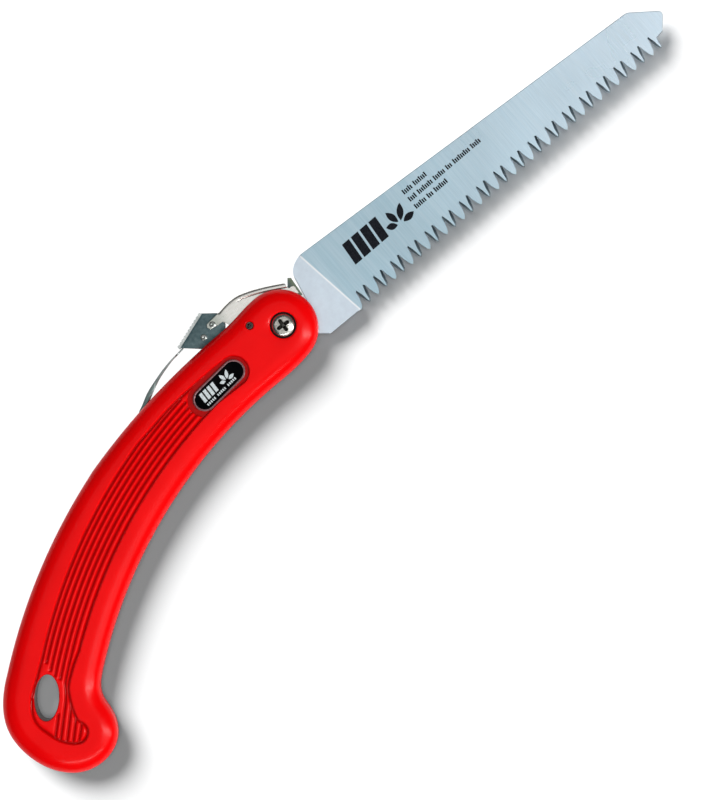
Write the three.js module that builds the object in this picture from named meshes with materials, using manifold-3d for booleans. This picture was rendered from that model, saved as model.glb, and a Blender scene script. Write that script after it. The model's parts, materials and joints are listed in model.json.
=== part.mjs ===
// Folding pruning saw, opened out, lying on its left side. Millimetres, +Z up.
// While it is drawn, the origin is the blade pivot at mid thickness, +X runs along the straight
// back edge of the blade to the tip, and +Y points away from the teeth.
import * as THREE from 'three';
import Module from 'manifold-3d';
import { mergeVertices } from 'three/addons/utils/BufferGeometryUtils.js';

const wasm = await Module();
wasm.setup();

// ---- driving dimensions -------------------------------------------------------------------
const HANDLE_HALF = 10.2;          // half the thickness of the handle
const EDGE_ROUND = 6.5;            // rounding of the handle's long edges
const PARTING = 0.03;              // each shell stops this far from the mid plane

const HEAD = { x: -1.8, y: 0, r: 17.3 };                  // round nose of the handle
const BELLY = { x: -4.85, y: -252.1, r: 233.1 };          // hollow finger side
const BACK_FRONT = { x: -4, y: -323, r: 337.8 };          // palm side, front stretch
const BACK_REAR = { x: -14.5, y: -256.8, r: 271.7 };      // palm side, rear stretch

const BLADE_HALF = 0.7;            // half the thickness of the blade
const SLOT_HALF = 1.6;             // half the width of the blade slot
const POCKET_HALF = 3.45;          // half the width of the lever pocket
const FOLD_ANGLE = THREE.MathUtils.degToRad(-156);        // blade fully folded
const FOLD_CLEARANCE = 0.7;        // room between the folded tooth tips and the slot's end wall

const HEEL_RADIUS = 12.5;          // round heel of the blade, concentric with the pivot
const TOOTH_COUNT = 36;
const FIRST_TIP = new THREE.Vector2(32.8, -14.95);
const LAST_TIP = new THREE.Vector2(211.2, -1.1);
const TOOTH_DEPTH = 7.4;
const TOOTH_LEAN = 0.43;           // share of the pitch between a tip and the gullet on its handle side
const FLANK_BULGE = 0.62;          // where each convex flank bends: share of the width and of the depth
const BLADE_BACK = 21.1;           // height of the back edge above the pivot

const BARREL_RADIUS = 4;           // pivot barrel the blade turns on
const BARREL_CLEARANCE = 0.15;
const WASHER_RADIUS = 8;
const SCREW_HEAD_RADIUS = 5.1;
const HEAD_BORE = { r: 5.95, depth: 3.8 };               // seat of the screw's head, on the right
const NUT_BORE = { r: 7.05, depth: 3 };                  // seat of the nut's flange, on the left

const LEVER_PIN = { x: -12.2, y: 8.8, r: 1.75, bore: 0.95 };
const ARM_INNER = 1.95;            // inside of the lever's cheeks
const ARM_OUTER = 2.95;            // outside of the lever's cheeks
const BRACKET_INNER = 1;           // inside of the thumb bracket's cheeks
const BRACKET_OUTER = 1.9;         // outside of the thumb bracket's cheeks
const PAD_HALF = 5;                // half the width of the thumb pad
const RIVET_RADIUS = 1.1;
const PAWL_RIVET = { x: 13, y: 10.4 };
const FRONT_RIVET = { x: -25.4, y: 19.3 };
const REAR_RIVET = { x: -32, y: 17 };

const ANCHOR = { x: -76, y: 4.2, r: 1.2 };                // pin that holds the return spring
const SPRING_HALF = 1.85;
const TONGUE_HALF = 0.85;          // narrow end of the spring, inside the thumb bracket

const HANG_HOLE = { x: -184.5, y: -71, long: 10.4, short: 5.5, turn: THREE.MathUtils.degToRad(51) };
const BADGE = { x: -39.1, y: -4.6, length: 28.6, width: 10.6, turn: THREE.MathUtils.degToRad(8) };
const BADGE_RECESS = { length: 31.4, width: 13, depth: 1.2 };

const GROOVE_RADII = [245.6, 248.1, 250.6, 253.1, 255.6, 258.1, 260.3];   // about the belly's centre
const GROOVE_FRONT = [-51, -52, -53, -54.5, -56, -57, -58];
const GROOVE_REAR = [-188, -185, -181, -175.5, -175, -175.5, -176];
const GROOVE_WIDTH = 0.9;
const GROOVE_DEPTH = 0.6;

const GRIP_SCREWS = [
  { name: 'grip_screw_front', x: -66, y: -6 },
  { name: 'grip_screw_middle', x: -116, y: -22 },
  { name: 'grip_screw_rear', x: -160, y: -49 },
];

// ---- looks --------------------------------------------------------------------------------
const LOOKS = {
  grip: { color: 0xf01418, roughness: 0.35, metalness: 0 },
  badge: { color: 0x101012, roughness: 0.4, metalness: 0 },
  blade: { color: 0xb4c8d4, roughness: 0.3, metalness: 1 },
  nickel: { color: 0xb9bab0, roughness: 0.25, metalness: 1 },
  zinc: { color: 0xcfd0cc, roughness: 0.35, metalness: 1 },
  dark: { color: 0x4a5f64, roughness: 0.4, metalness: 1 },
};

// ---- solids -------------------------------------------------------------------------------
function toSolid(geometry) {
  const bare = geometry.clone();
  bare.deleteAttribute('normal');
  bare.deleteAttribute('uv');
  const merged = mergeVertices(bare, 1e-4);
  return new wasm.Manifold(new wasm.Mesh({
    numProp: 3,
    vertProperties: merged.attributes.position.array,
    triVerts: new Uint32Array(merged.index.array),
  }));
}

function toGeometry(solid) {
  const mesh = solid.getMesh();
  const geometry = new THREE.BufferGeometry();
  geometry.setAttribute('position', new THREE.BufferAttribute(mesh.vertProperties, 3));
  geometry.setIndex(new THREE.BufferAttribute(mesh.triVerts, 1));
  geometry.computeVertexNormals();
  return geometry;
}

function join(first, ...others) {
  return others.reduce((sum, other) => sum.add(other), first);
}

function cut(first, ...others) {
  return others.reduce((rest, other) => rest.subtract(other), first);
}

// Flat plate between two heights.
function plate(shape, low, high, curveSegments = 8) {
  const settings = { depth: high - low, bevelEnabled: false, curveSegments };
  const geometry = new THREE.ExtrudeGeometry(shape, settings);
  return toSolid(geometry.translate(0, 0, low));
}

// Plate with both rims rounded inwards.
function softPlate(shape, low, high, round, bevelSegments, curveSegments = 8) {
  const geometry = new THREE.ExtrudeGeometry(shape, {
    depth: high - low - 2 * round,
    bevelThickness: round,
    bevelSize: round,
    bevelOffset: -round,
    bevelSegments,
    curveSegments,
  });
  return toSolid(geometry.translate(0, 0, low + round));
}

// Round bar along Z.
function bar(x, y, radius, low, high, sides = 32) {
  const geometry = new THREE.CylinderGeometry(radius, radius, high - low, sides);
  return toSolid(geometry.rotateX(Math.PI / 2).translate(x, y, (low + high) / 2));
}

function ring(x, y, inner, outer, low, high, sides = 32) {
  return cut(bar(x, y, outer, low, high, sides), bar(x, y, inner, low - 1, high + 1, sides));
}

function box(width, depth, height, x, y, z) {
  return toSolid(new THREE.BoxGeometry(width, depth, height).translate(x, y, z));
}

// Body turned about Z; the profile lists [radius, height] pairs and starts and ends on the axis.
function turned(profile, x, y, sides = 32) {
  const points = profile.map(([radius, height]) => new THREE.Vector2(radius, height));
  return toSolid(new THREE.LatheGeometry(points, sides).rotateX(Math.PI / 2).translate(x, y, 0));
}

function polygon(points) {
  return new THREE.Shape(points.map(([x, y]) => new THREE.Vector2(x, y)));
}

// Band of constant thickness on both sides of a smooth line.
function strip(line, halfThickness, divisions) {
  const curve = new THREE.SplineCurve(line.map(([x, y]) => new THREE.Vector2(x, y)));
  const outer = [];
  const inner = [];
  for (let i = 0; i <= divisions; i += 1) {
    const at = curve.getPoint(i / divisions);
    const along = curve.getTangent(i / divisions);
    outer.push(new THREE.Vector2(at.x - along.y * halfThickness, at.y + along.x * halfThickness));
    inner.unshift(new THREE.Vector2(at.x + along.y * halfThickness, at.y - along.x * halfThickness));
  }
  return new THREE.Shape([...outer, ...inner]);
}

function obround(length, width) {
  const reach = (length - width) / 2;
  const shape = new THREE.Shape();
  shape.absarc(reach, 0, width / 2, -Math.PI / 2, Math.PI / 2, false);
  shape.absarc(-reach, 0, width / 2, Math.PI / 2, 1.5 * Math.PI, false);
  return shape;
}

// Right half above the mid plane, left half below it.
function rightHalf(solid) {
  return solid.intersect(box(600, 400, 40, 0, 0, 20 + PARTING));
}

function leftHalf(solid) {
  return solid.intersect(box(600, 400, 40, 0, 0, -20 - PARTING));
}

function mirrored(solid) {
  return solid.mirror([0, 0, 1]);
}

function mesh(name, solid, look) {
  const result = new THREE.Mesh(toGeometry(solid), new THREE.MeshStandardMaterial(look));
  result.name = name;
  return result;
}

// ---- handle -------------------------------------------------------------------------------
// Angle on the upper half of a circle where it crosses x.
function angleAt(circle, x) {
  return Math.acos((x - circle.x) / circle.r);
}

function handleOutline() {
  const shape = new THREE.Shape();
  shape.moveTo(HEAD.x, HEAD.r);
  shape.bezierCurveTo(-9, HEAD.r, -16, 14.7, -24, 14.2);
  shape.absarc(BACK_FRONT.x, BACK_FRONT.y, BACK_FRONT.r,
    angleAt(BACK_FRONT, -28), angleAt(BACK_FRONT, -108), false);
  shape.absarc(BACK_REAR.x, BACK_REAR.y, BACK_REAR.r,
    angleAt(BACK_REAR, -112), angleAt(BACK_REAR, -193), false);
  shape.bezierCurveTo(-202.5, -60.2, -208.3, -68.1, -208.3, -78);
  shape.bezierCurveTo(-208.3, -93, -198.7, -109.3, -183, -109.3);
  shape.bezierCurveTo(-172.9, -109.3, -164.8, -102.5, -164.8, -90);
  shape.bezierCurveTo(-164.8, -83.2, -162.8, -80.8, -158.5, -76.8);
  shape.absarc(BELLY.x, BELLY.y, BELLY.r, angleAt(BELLY, -157), angleAt(BELLY, -18), true);
  shape.bezierCurveTo(-9.5, -19, -3.1, -18.3, 2.7, -16.7);
  shape.absarc(HEAD.x, HEAD.y, HEAD.r, THREE.MathUtils.degToRad(-73), THREE.MathUtils.degToRad(86), false);
  return shape;
}

// Everything the blade sweeps between open and folded.
function slotOutline() {
  const turn = (point) => point.clone().rotateAround(new THREE.Vector2(), FOLD_ANGLE);
  const front = turn(FIRST_TIP);
  const rear = turn(LAST_TIP);
  const along = rear.clone().sub(front).normalize();
  const away = new THREE.Vector2(along.y, -along.x).multiplyScalar(FOLD_CLEARANCE);
  const first = front.clone().add(away);
  const last = rear.clone().add(away).addScaledVector(along, 1.2);
  return polygon([
    [first.x, first.y], [last.x, last.y], [-198.4, -100.9], [-192.3, -112], [-150, -130],
    [0, -60], [40, -60], [40, 40], [first.x, 40],
  ]);
}

// Room for the lever and its spring, open towards the palm side, clear of the pivot boss.
function leverPocketOutline() {
  const shape = new THREE.Shape();
  shape.moveTo(20, 2.2);
  shape.lineTo(9, 2.2);
  shape.absarc(0, 0, 9.3, THREE.MathUtils.degToRad(14), THREE.MathUtils.degToRad(138), false);
  shape.lineTo(-9.5, 4.6);
  shape.lineTo(-15.6, 4.6);
  shape.lineTo(-22, 8.6);
  shape.lineTo(-46, 8.4);
  shape.lineTo(-70, 1.4);
  shape.lineTo(-79, 1.2);
  shape.lineTo(-79, 40);
  shape.lineTo(20, 40);
  return shape;
}

function hangHoleOutline() {
  const shape = new THREE.Shape();
  shape.absellipse(HANG_HOLE.x, HANG_HOLE.y, HANG_HOLE.long, HANG_HOLE.short, 0, 2 * Math.PI, false,
    HANG_HOLE.turn);
  return shape;
}

// Through hole with both rims flared.
function hangHoleCut() {
  const flare = 1.3;
  const rim = new THREE.ExtrudeGeometry(hangHoleOutline(), {
    depth: 4, bevelThickness: flare, bevelSize: flare, bevelSegments: 2, curveSegments: 14,
  });
  const rimCut = toSolid(rim.translate(0, 0, HANDLE_HALF));
  const through = plate(hangHoleOutline(), -20, 20, 14);
  return join(through, rimCut, mirrored(rimCut));
}

function badgePlace(solid) {
  return solid.rotate([0, 0, THREE.MathUtils.radToDeg(BADGE.turn)]).translate([BADGE.x, BADGE.y, 0]);
}

function badgeRecess() {
  const floor = HANDLE_HALF - BADGE_RECESS.depth;
  return badgePlace(plate(obround(BADGE_RECESS.length, BADGE_RECESS.width), floor, HANDLE_HALF + 5));
}

// Grip grooves that follow the finger side.
function grooves() {
  const cuts = GROOVE_RADII.map((radius, i) => {
    const from = angleAt({ x: BELLY.x, r: radius }, GROOVE_FRONT[i]);
    const to = angleAt({ x: BELLY.x, r: radius }, GROOVE_REAR[i]);
    const shape = new THREE.Shape();
    shape.absarc(BELLY.x, BELLY.y, radius + GROOVE_WIDTH / 2, from, to, false);
    shape.absarc(BELLY.x, BELLY.y, radius - GROOVE_WIDTH / 2, to, from, true);
    return plate(shape, HANDLE_HALF - GROOVE_DEPTH, HANDLE_HALF + 5, 6);
  });
  return join(...cuts);
}

function handleBody() {
  const body = softPlate(handleOutline(), -HANDLE_HALF, HANDLE_HALF, EDGE_ROUND, 3, 7);
  const faceCuts = join(badgeRecess(), grooves());
  return cut(body,
    plate(slotOutline(), -SLOT_HALF, SLOT_HALF),
    plate(leverPocketOutline(), -POCKET_HALF, POCKET_HALF),
    hangHoleCut(),
    faceCuts,
    mirrored(faceCuts),
    bar(0, 0, BARREL_RADIUS + 0.1, -20, 20),
    bar(0, 0, HEAD_BORE.r, HANDLE_HALF - HEAD_BORE.depth, 20),
    bar(0, 0, NUT_BORE.r, -20, -HANDLE_HALF + NUT_BORE.depth),
    bar(LEVER_PIN.x, LEVER_PIN.y, LEVER_PIN.r + 0.08, -20, 20, 24),
    bar(ANCHOR.x, ANCHOR.y, ANCHOR.r + 0.08, -7, 7, 20),
    ...GRIP_SCREWS.map(({ x, y }) => join(
      bar(x, y, 3.2, -20, -HANDLE_HALF + 3, 24),
      bar(x, y, 1.6, -12, 7, 16),
    )));
}

// Printed plate with a thin raised rim.
function badge() {
  const floor = HANDLE_HALF - BADGE_RECESS.depth + 0.05;
  const body = plate(obround(BADGE.length, BADGE.width), floor, floor + 0.95);
  const dish = plate(obround(BADGE.length - 1.2, BADGE.width - 1.2), floor + 0.7, floor + 5);
  return badgePlace(cut(body, dish));
}

// ---- blade --------------------------------------------------------------------------------
function bladeOutline() {
  const pitch = LAST_TIP.clone().sub(FIRST_TIP).divideScalar(TOOTH_COUNT - 1);
  const inward = new THREE.Vector2(-pitch.y, pitch.x).normalize().multiplyScalar(TOOTH_DEPTH);
  const heelAngle = (x, y) => Math.atan2(y, x);
  const shape = new THREE.Shape();
  shape.moveTo(10.5, 2.2);
  shape.lineTo(15.1, 2.2);
  shape.lineTo(16.6, 13.5);
  shape.quadraticCurveTo(17.4, 19.2, 24.9, BLADE_BACK);
  shape.lineTo(206.5, BLADE_BACK);
  shape.quadraticCurveTo(208.2, 21, 209.5, 20);
  shape.lineTo(219.6, 13.3);
  shape.quadraticCurveTo(221.2, 12.1, 220.2, 10.4);
  shape.lineTo(LAST_TIP.x, LAST_TIP.y);
  const flankTo = (tip, reach) => {
    const bend = tip.clone().addScaledVector(pitch, reach * FLANK_BULGE);
    bend.addScaledVector(inward, 1 - FLANK_BULGE);
    shape.lineTo(bend.x, bend.y);
  };
  for (let i = TOOTH_COUNT - 2; i >= 0; i -= 1) {
    const tip = FIRST_TIP.clone().addScaledVector(pitch, i);
    const gullet = tip.clone().addScaledVector(pitch, 1 - TOOTH_LEAN).add(inward);
    flankTo(tip.clone().add(pitch), -TOOTH_LEAN);
    shape.lineTo(gullet.x, gullet.y);
    flankTo(tip, 1 - TOOTH_LEAN);
    shape.lineTo(tip.x, tip.y);
  }
  shape.lineTo(15, -15.5);
  shape.absarc(0, 0, HEEL_RADIUS, heelAngle(7.7, -9.85), heelAngle(10.5, 6.78), true);
  return shape;
}

// Notch that the pawl drops into when the blade is folded.
function closedNotch() {
  const notch = plate(polygon([[10.35, 2.4], [14, 2.2], [14, 7.2], [10.9, 7.2]]), -2, 2);
  return notch.rotate([0, 0, -THREE.MathUtils.radToDeg(FOLD_ANGLE)]);
}

function sawBlade() {
  return cut(plate(bladeOutline(), -BLADE_HALF, BLADE_HALF, 20),
    bar(0, 0, BARREL_RADIUS + BARREL_CLEARANCE, -2, 2, 40),
    closedNotch());
}

// ---- pivot --------------------------------------------------------------------------------
function pivotScrew() {
  const under = 7.6;
  const body = turned([
    [0, -6], [2.45, -6], [2.45, under], [SCREW_HEAD_RADIUS, under], [SCREW_HEAD_RADIUS, 9],
    [4.6, 9.75], [3.2, 10.05], [0, 10.15],
  ], 0, 0, 36);
  return cut(body, box(6.3, 1.3, 3, 0, 0, 10.2), box(1.3, 6.3, 3, 0, 0, 10.2));
}

function pivotNut() {
  const flange = bar(0, 0, 6.6, -9.9, -7.3, 6);
  const barrel = bar(0, 0, BARREL_RADIUS, -7.3, 6.2, 32);
  return cut(join(flange, barrel), bar(0, 0, 2.6, -12, 8, 24));
}

function pivotSpringWasher() {
  return cut(ring(0, 0, 2.7, 4.8, 6.5, 7.5, 28), box(4, 0.8, 3, 4, 0, 7));
}

// ---- lock lever ---------------------------------------------------------------------------
function armSide() {
  const shape = new THREE.Shape();
  shape.moveTo(11.6, 15.2);
  shape.bezierCurveTo(6, 18, -1.5, 21.6, -8.6, 23.1);
  shape.quadraticCurveTo(-13, 23.7, -19.8, 22);
  shape.lineTo(-27.4, 20.9);
  shape.lineTo(-28.2, 19.6);
  shape.lineTo(-27.4, 18);
  shape.lineTo(-24.5, 17.6);
  shape.lineTo(-20.9, 17.6);
  shape.lineTo(-15.6, 8.2);
  shape.absarc(LEVER_PIN.x, LEVER_PIN.y, 3.4, Math.PI, 1.5 * Math.PI + 0.9, false);
  shape.lineTo(-6.5, 11.4);
  shape.lineTo(0, 11.6);
  shape.lineTo(8, 9.4);
  shape.lineTo(10.6, 7.8);
  shape.lineTo(14.4, 7.8);
  shape.lineTo(14.4, 11.5);
  shape.lineTo(11.9, 12);
  return shape;
}

// Channel folded from strip: two cheeks, and a web along the palm side as far as the thumb bracket.
function lockArm() {
  const hollow = polygon([
    [11.2, 14.2], [2.2, 18.7], [-5.4, 21.1], [-9.9, 22.2], [-15.9, 21.7], [-20, 20.9],
    [-20, 40], [-60, 40], [-60, 0], [20, 0], [20, 14.2],
  ]);
  return cut(plate(armSide(), -ARM_OUTER, ARM_OUTER, 7),
    plate(hollow, -ARM_INNER, ARM_INNER),
    bar(LEVER_PIN.x, LEVER_PIN.y, LEVER_PIN.r + 0.15, -4, 4, 24),
    rivetHole(PAWL_RIVET),
    rivetHole(FRONT_RIVET));
}

function rivetHole({ x, y }) {
  return bar(x, y, RIVET_RADIUS + 0.05, -4, 4, 16);
}

// Rivet with a low head on each side, bearing on plates that end at the given height.
function rivet({ x, y }, height, headRadius, headHeight) {
  const head = bar(x, y, headRadius, height + 0.03, height + 0.03 + headHeight, 16);
  return join(bar(x, y, RIVET_RADIUS, -height - 0.1, height + 0.1, 16), head, mirrored(head));
}

function lockPawl() {
  const side = polygon([
    [11.4, 6.1], [15.2, 6.1], [15.5, 15.2], [14.2, 16.1], [12.1, 13.2], [11.4, 12.4],
  ]);
  return cut(plate(side, -ARM_INNER + 0.05, ARM_INNER - 0.05), rivetHole(PAWL_RIVET));
}

// Thumb pad, with ridges across it from rear to front.
function padOutline() {
  const rear = new THREE.Vector2(-44.2, 20.1);
  const front = new THREE.Vector2(-26.8, 26.9);
  const ridges = 11;
  const step = front.clone().sub(rear).divideScalar(ridges);
  const rise = new THREE.Vector2(-step.y, step.x).normalize().multiplyScalar(0.45);
  const points = [];
  for (let i = 0; i < ridges; i += 1) {
    const start = rear.clone().addScaledVector(step, i);
    points.push(start, start.clone().addScaledVector(step, 0.5).add(rise));
  }
  points.push(front, front.clone().addScaledVector(rise, -2.6), rear.clone().addScaledVector(rise, -2.6));
  return new THREE.Shape(points.reverse());
}

function thumbBracket() {
  const side = polygon([
    [-44.2, 20.1], [-35.2, 12.9], [-22.6, 13.4], [-20.4, 16.2], [-20.4, 22.1], [-26.8, 26.9],
  ]);
  const inside = polygon([
    [-60, 12.5], [-43.8, 19], [-26.6, 25.7], [-10, 18], [-10, 5], [-60, 5],
  ]);
  const cheeks = cut(plate(side, -BRACKET_OUTER, BRACKET_OUTER),
    plate(inside, -BRACKET_INNER, BRACKET_INNER));
  return cut(join(cheeks, plate(padOutline(), -PAD_HALF, PAD_HALF)),
    rivetHole(FRONT_RIVET),
    rivetHole(REAR_RIVET));
}

function leverPin() {
  return ring(LEVER_PIN.x, LEVER_PIN.y, LEVER_PIN.bore, LEVER_PIN.r, -9.7, 9.7, 24);
}

// Leaf that curls around its anchor pin; its narrow tongue reaches in under the thumb pad.
function returnSpring() {
  const wide = [[-76, 6.2], [-71.4, 8.2], [-66, 11.4], [-58, 14.9], [-50, 17.3], [-45.2, 18.1]];
  const narrow = [[-48, 17.6], [-44, 18.2], [-38.5, 19.4]];
  return join(plate(strip(wide, 0.4, 18), -SPRING_HALF, SPRING_HALF),
    plate(strip(narrow, 0.38, 6), -TONGUE_HALF, TONGUE_HALF),
    ring(ANCHOR.x, ANCHOR.y, ANCHOR.r + 0.15, ANCHOR.r + 1.15, -SPRING_HALF, SPRING_HALF, 20));
}

function gripScrew(x, y) {
  const body = turned([
    [0, 6.8], [1.5, 6.8], [1.5, -7.25], [2.9, -7.25], [2.9, -8.9], [2.3, -9.6], [0, -9.75],
  ].reverse(), x, y, 20);
  return cut(body, box(3.4, 0.8, 2, x, y, -10), box(0.8, 3.4, 2, x, y, -10));
}

// ---- assembly -----------------------------------------------------------------------------
const handle = handleBody();
const rightWasher = ring(0, 0, BARREL_RADIUS + BARREL_CLEARANCE, WASHER_RADIUS, 0.75, 1.55, 32);

const saw = new THREE.Group();
saw.add(
  mesh('right_grip_shell', rightHalf(handle), LOOKS.grip),
  mesh('left_grip_shell', leftHalf(handle), LOOKS.grip),
  mesh('right_badge', badge(), LOOKS.badge),
  mesh('left_badge', mirrored(badge()), LOOKS.badge),
  mesh('saw_blade', sawBlade(), LOOKS.blade),
  mesh('pivot_screw', pivotScrew(), LOOKS.nickel),
  mesh('pivot_nut', pivotNut(), LOOKS.nickel),
  mesh('pivot_spring_washer', pivotSpringWasher(), LOOKS.zinc),
  mesh('right_blade_washer', rightWasher, LOOKS.zinc),
  mesh('left_blade_washer', mirrored(rightWasher), LOOKS.zinc),
  mesh('lock_arm', lockArm(), LOOKS.zinc),
  mesh('lock_pawl', lockPawl(), LOOKS.dark),
  mesh('pawl_rivet', rivet(PAWL_RIVET, ARM_OUTER, 1.5, 0.3), LOOKS.zinc),
  mesh('thumb_bracket', thumbBracket(), LOOKS.dark),
  mesh('bracket_rivet_front', rivet(FRONT_RIVET, ARM_OUTER, 1.5, 0.5), LOOKS.zinc),
  mesh('bracket_rivet_rear', rivet(REAR_RIVET, BRACKET_OUTER, 1.5, 0.5), LOOKS.zinc),
  mesh('return_spring', returnSpring(), LOOKS.zinc),
  mesh('spring_anchor_pin', bar(ANCHOR.x, ANCHOR.y, ANCHOR.r, -6.8, 6.8, 20), LOOKS.zinc),
  mesh('lever_pin', leverPin(), LOOKS.dark),
);
for (const { name, x, y } of GRIP_SCREWS) {
  saw.add(mesh(name, gripScrew(x, y), LOOKS.zinc));
}

// The finished frame has its origin under the middle of the saw, on the plane it lies on.
const bounds = new THREE.Box3().setFromObject(saw);
const middle = bounds.getCenter(new THREE.Vector3());
saw.position.set(-middle.x, -middle.y, -bounds.min.z);
saw.updateMatrixWorld(true);

export default saw;
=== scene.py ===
"""Folding pruning saw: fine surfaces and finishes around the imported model.

Shapes are written in millimetres in the saw's own drawing frame: origin at the blade pivot, at mid
thickness, +X along the blade's back edge to the tip, +Y away from the teeth. to_frame() moves them to
the model's frame, in metres.
"""
import json
import math

import bmesh
import bpy
import numpy as np
from mathutils import Matrix, Vector
from mathutils.geometry import delaunay_2d_cdt

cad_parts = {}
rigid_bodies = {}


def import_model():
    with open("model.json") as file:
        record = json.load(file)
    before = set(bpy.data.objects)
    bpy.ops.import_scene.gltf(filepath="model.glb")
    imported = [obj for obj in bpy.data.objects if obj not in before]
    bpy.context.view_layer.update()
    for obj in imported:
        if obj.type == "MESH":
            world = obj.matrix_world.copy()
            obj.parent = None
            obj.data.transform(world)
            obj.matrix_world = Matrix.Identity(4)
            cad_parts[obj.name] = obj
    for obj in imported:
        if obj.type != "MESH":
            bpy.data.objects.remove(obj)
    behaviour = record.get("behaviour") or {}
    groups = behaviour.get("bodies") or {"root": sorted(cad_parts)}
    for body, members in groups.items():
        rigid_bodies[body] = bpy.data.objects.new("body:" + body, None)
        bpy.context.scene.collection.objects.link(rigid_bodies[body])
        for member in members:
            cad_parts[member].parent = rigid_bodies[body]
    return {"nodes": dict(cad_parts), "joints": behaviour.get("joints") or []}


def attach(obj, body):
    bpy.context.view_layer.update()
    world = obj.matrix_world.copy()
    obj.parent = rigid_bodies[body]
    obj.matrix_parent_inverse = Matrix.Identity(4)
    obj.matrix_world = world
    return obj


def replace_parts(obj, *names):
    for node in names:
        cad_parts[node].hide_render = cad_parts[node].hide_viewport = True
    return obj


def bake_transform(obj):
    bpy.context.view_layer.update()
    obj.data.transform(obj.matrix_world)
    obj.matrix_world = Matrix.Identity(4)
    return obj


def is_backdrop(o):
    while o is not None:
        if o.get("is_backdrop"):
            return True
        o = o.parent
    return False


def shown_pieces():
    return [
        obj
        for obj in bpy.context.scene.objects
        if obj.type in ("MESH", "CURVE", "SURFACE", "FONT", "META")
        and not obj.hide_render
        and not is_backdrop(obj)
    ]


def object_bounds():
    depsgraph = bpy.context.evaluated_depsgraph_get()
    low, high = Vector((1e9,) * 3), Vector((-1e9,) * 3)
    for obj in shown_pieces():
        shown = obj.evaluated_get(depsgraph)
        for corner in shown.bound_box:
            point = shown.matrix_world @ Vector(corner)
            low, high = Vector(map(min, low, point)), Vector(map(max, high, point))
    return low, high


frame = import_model()
cad_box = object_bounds()
joints = {joint["name"]: joint for joint in frame["joints"]}
PIVOT = np.array(joints["blade_fold"]["pos_m"])
MM = 0.001

# ---- driving dimensions, in millimetres -----------------------------------------------------
HALF = 10.2                     # half the thickness of the grip
PARTING = 0.03                  # each shell stops this far from the mid plane
PARTING_CHAMFER = 0.28          # small chamfer along the joint between the shells
EDGE_DROP = 6.5                 # height of the rounded edge
EDGE_REACH = 9.5                # how far the rounding reaches in over the face
SLOT_HALF = 1.6
POCKET_HALF = 3.45

HEAD = (-1.8, 0.0, 17.3)        # circles: centre x, centre y, radius
BELLY = (-4.85, -252.1, 233.1)
BACK_FRONT = (-4.0, -323.0, 337.8)
BACK_REAR = (-14.5, -256.8, 271.7)

FOLD = math.radians(-156)
FOLD_CLEARANCE = 0.7            # room between the folded tooth tips and the slot's end wall
TIP_CLEARANCE = 1.2             # and beyond the last tip
FIRST_TIP = np.array([32.8, -14.95])
LAST_TIP = np.array([211.2, -1.1])

HANG_HOLE = dict(centre=(-184.5, -71.0), long=10.4, short=5.5, turn=math.radians(51))
BADGE = dict(centre=(-39.1, -4.6), length=28.6, width=10.6, turn=math.radians(8))
BADGE_RECESS = dict(length=31.4, width=13.0, depth=1.2)
LEVER_PIN = (-12.2, 8.8)
PAWL_RIVET = (13, 10.4)
FRONT_RIVET = (-25.4, 19.3)
REAR_RIVET = (-32, 17)
RIVET_HOLE = 1.15               # holes are given by their radius
BARREL_HOLE = 4.1
PIN_HOLE = 1.83
SCREW_HOLE = 1.6
HEAD_BORE = (5.95, 3.8)         # seats: radius and depth below the face
NUT_BORE = (7.05, 3.0)
SCREW_SEAT = (3.2, 3.0)
GRIP_SCREWS = [(-66, -6), (-116, -22), (-160, -49)]


# ---- curves ---------------------------------------------------------------------------------
def unit(vector):
    return vector / np.linalg.norm(vector)


def left_of(direction):
    """The direction turned a quarter to the left."""
    return np.array([-direction[1], direction[0]])


def placed(loop, turn, centre):
    """A loop turned about the origin, then moved to a centre."""
    c, s = math.cos(turn), math.sin(turn)
    return loop @ np.array([[c, s], [-s, c]]) + centre


def arc(circle, start, end, step=1.0):
    """Points on a circle from one angle to another, in radians."""
    x, y, radius = circle
    count = max(2, int(abs(end - start) * radius / step) + 1)
    angle = np.linspace(start, end, count)
    return np.column_stack([x + radius * np.cos(angle), y + radius * np.sin(angle)])


def bezier(*control, step=0.9):
    p0, p1, p2, p3 = (np.array(p, float) for p in control)
    reach = np.linalg.norm(p1 - p0) + np.linalg.norm(p2 - p1) + np.linalg.norm(p3 - p2)
    t = np.linspace(0, 1, max(3, int(reach / step)))[:, None]
    return (1 - t) ** 3 * p0 + 3 * (1 - t) ** 2 * t * p1 + 3 * (1 - t) * t ** 2 * p2 + t ** 3 * p3


def angle_at(circle, x):
    """Angle on the circle's upper half where it crosses x."""
    return math.acos((x - circle[0]) / circle[2])


def chain(*pieces, closed=True):
    """Joins point runs and drops repeated points."""
    points = np.concatenate([np.atleast_2d(np.array(piece, float)) for piece in pieces])
    keep = [0]
    for i in range(1, len(points)):
        if np.linalg.norm(points[i] - points[keep[-1]]) > 0.08:
            keep.append(i)
    if closed and np.linalg.norm(points[keep[-1]] - points[0]) < 0.08:
        keep.pop()
    return points[keep]


def resample(points, step, closed=False):
    run = np.vstack([points, points[:1]]) if closed else points
    length = np.r_[0, np.cumsum(np.linalg.norm(np.diff(run, axis=0), axis=1))]
    count = max(2, int(round(length[-1] / step)))
    at = np.linspace(0, length[-1], count, endpoint=not closed)
    return np.column_stack([np.interp(at, length, run[:, 0]), np.interp(at, length, run[:, 1])])


def normals(loop):
    """Outward normals of a loop."""
    along = np.roll(loop, -1, 0) - np.roll(loop, 1, 0)
    along /= np.linalg.norm(along, axis=1)[:, None]
    ahead = np.roll(loop, -1, 0)
    turn = np.sign((loop[:, 0] * ahead[:, 1] - loop[:, 1] * ahead[:, 0]).sum())
    return np.column_stack([along[:, 1], -along[:, 0]]) * turn


def grow(loop, distance):
    return loop + normals(loop) * distance


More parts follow.
